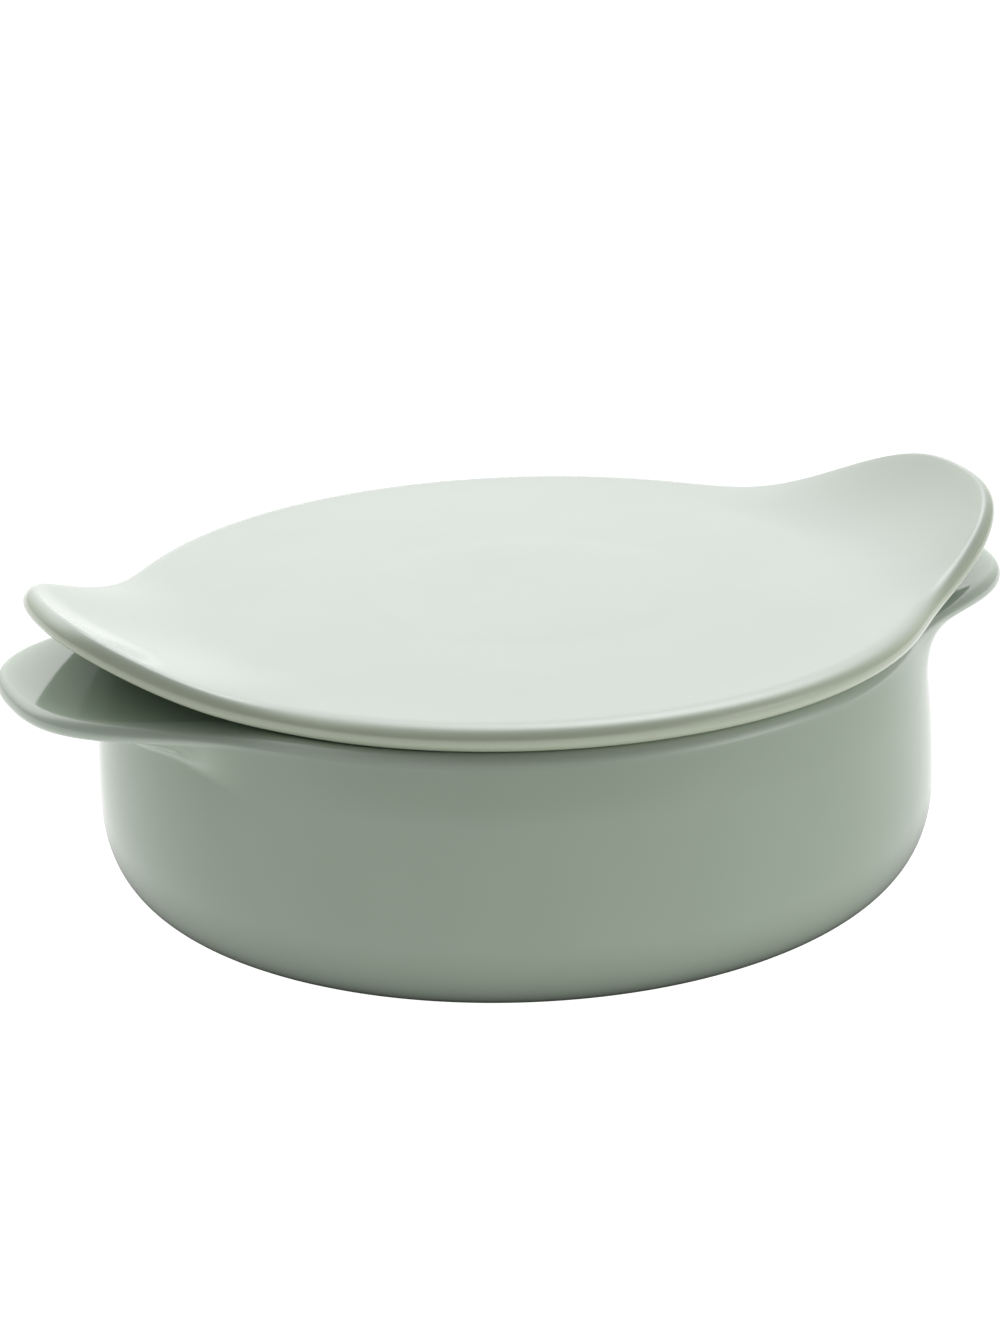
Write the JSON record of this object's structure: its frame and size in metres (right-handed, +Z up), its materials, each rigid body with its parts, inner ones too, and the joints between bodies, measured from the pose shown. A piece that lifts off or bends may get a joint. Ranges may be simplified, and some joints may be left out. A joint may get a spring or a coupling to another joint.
{
  "type": "lidded casserole dish",
  "caption": "Low round stoneware casserole dish with lug handles at its sides and a flat lift-off lid whose upswept tabs stand over the lugs.",
  "frame": {"origin": "middle of the base, on the surface that the dish stands on", "axes": "+Z up, +X along the lugs, towards the side that the lid has slid to, +Y across them"},
  "size_m": [0.2992, 0.24, 0.1013],
  "materials": {
    "dish_glaze": "glossy sage glaze",
    "lid_glaze": "glossy sage glaze"
  },
  "bodies": {
    "dish": {"dish": "dish_glaze"},
    "lid": {"lid": "lid_glaze"}
  },
  "joints": [
    {"name": "lid_lift", "type": "slide", "parent": "dish", "child": "lid", "axis": [0, 0, 1], "range_m": [0, 0.12]}
  ]
}
